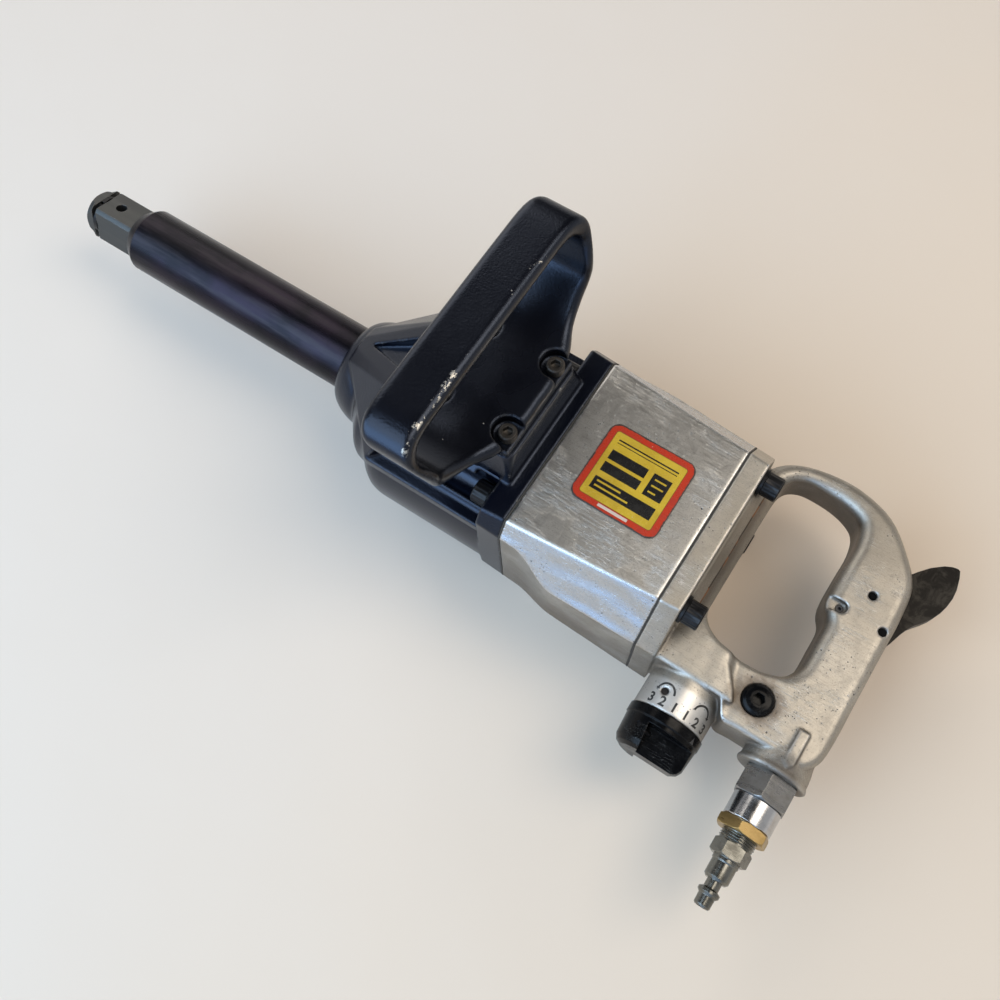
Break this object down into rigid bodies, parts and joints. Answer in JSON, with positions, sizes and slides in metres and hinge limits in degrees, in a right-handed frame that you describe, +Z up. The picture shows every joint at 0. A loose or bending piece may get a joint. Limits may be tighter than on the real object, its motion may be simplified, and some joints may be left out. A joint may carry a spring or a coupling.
{
  "type": "impact wrench",
  "caption": "Air impact wrench with a long square-drive anvil, round hammer case, side loop handle, rear D handle with outside trigger, reverse knob and air inlet.",
  "frame": {"origin": "on the spindle axis at the shoulder of the square drive", "axes": "+X forward along the spindle, +Y towards the air inlet, +Z up through the side handle"},
  "size_m": [0.5884, 0.2452, 0.1984],
  "materials": {
    "black_paint": "satin",
    "black_handle": "satin",
    "cast_housing": "cast",
    "dark_steel": "oiled",
    "screw_steel": "black oxide",
    "machined_steel": "machined",
    "ball_steel": "polished",
    "bronze": "machined",
    "brass": "machined",
    "plated_steel": "plated",
    "chrome": "polished",
    "plug_steel": "zinc plated",
    "rubber": "matt",
    "gasket": "matt",
    "vane_laminate": "matt",
    "knob_plastic": "satin",
    "label": "gloss"
  },
  "bodies": {
    "tool": {"nose_seal": "rubber", "nose_bushing": "bronze", "hammer_case": "black_paint", "side_handle": "black_handle", "side_handle_screws": "screw_steel", "front_cap_screws": "screw_steel", "front_washers": "screw_steel", "front_gasket": "gasket", "motor_housing": "cast_housing", "label_plate": "label", "motor_cylinder": "machined_steel", "cylinder_dowel": "machined_steel", "front_end_plate": "machined_steel", "rear_end_plate": "machined_steel", "front_bearing_outer": "machined_steel", "front_bearing_balls": "ball_steel", "rear_bearing_outer": "machined_steel", "rear_bearing_balls": "ball_steel", "rear_gasket": "gasket", "handle_casting": "cast_housing", "rear_cap_screws": "screw_steel", "rear_washers": "screw_steel", "reverse_sleeve": "bronze", "valve_pin": "machined_steel", "detent_ball": "ball_steel", "detent_spring": "machined_steel", "passage_plug": "dark_steel", "trigger_pin": "dark_steel", "stop_pin": "dark_steel", "throttle_guide": "bronze", "throttle_seat": "bronze", "throttle_spring": "machined_steel", "guide_screw": "dark_steel", "inlet_bushing": "plated_steel", "inlet_screen": "machined_steel", "inlet_sleeve": "chrome", "inlet_reducer": "brass", "air_plug": "plug_steel"},
    "anvil": {"anvil": "dark_steel", "drive_o_ring": "rubber", "drive_ring": "screw_steel"},
    "rotor": {"rotor": "machined_steel", "vanes": "vane_laminate", "front_bearing_inner": "machined_steel", "rear_bearing_inner": "machined_steel", "hammer_frame": "machined_steel", "hammer_pins": "machined_steel"},
    "front_hammer": {"front_hammer": "machined_steel"},
    "rear_hammer": {"rear_hammer": "machined_steel"},
    "trigger": {"trigger": "dark_steel"},
    "throttle": {"throttle_valve": "machined_steel"},
    "reverse": {"reverse_valve": "machined_steel", "reverse_o_rings": "rubber", "reverse_knob": "knob_plastic", "knob_pin": "machined_steel"}
  },
  "joints": [
    {"name": "anvil_spin", "type": "hinge", "parent": "tool", "child": "anvil", "pos_m": [0, 0, 0], "axis": [1, 0, 0], "continuous": true},
    {"name": "rotor_spin", "type": "hinge", "parent": "tool", "child": "rotor", "pos_m": [-0.36, 0, 0], "axis": [1, 0, 0], "continuous": true},
    {"name": "front_hammer_rock", "type": "hinge", "parent": "rotor", "child": "front_hammer", "pos_m": [-0.257, 0.039, 0], "axis": [1, 0, 0], "range_deg": [-2, 2]},
    {"name": "rear_hammer_rock", "type": "hinge", "parent": "rotor", "child": "rear_hammer", "pos_m": [-0.29, -0.039, 0], "axis": [1, 0, 0], "range_deg": [-2, 2]},
    {"name": "trigger_press", "type": "hinge", "parent": "tool", "child": "trigger", "pos_m": [-0.5236, -0.013, 0], "axis": [0, 0, 1], "range_deg": [0, 13], "stiffness_Nm_per_rad": 0.6, "springref_deg": -14.32},
    {"name": "throttle_open", "type": "slide", "parent": "tool", "child": "throttle", "axis": [0, 1, 0], "range_m": [0, 0.0028], "deforming": ["throttle_spring"]},
    {"name": "reverse_turn", "type": "hinge", "parent": "tool", "child": "reverse", "pos_m": [-0.4506, 0.09, 0], "axis": [0, 1, 0], "range_deg": [-45, 45]}
  ],
  "couplings": [
    {"joint": "rotor_spin", "follows": "anvil_spin", "ratio": 1},
    {"joint": "throttle_open", "follows": "trigger_press", "m_per_rad": 0.0116}
  ]
}
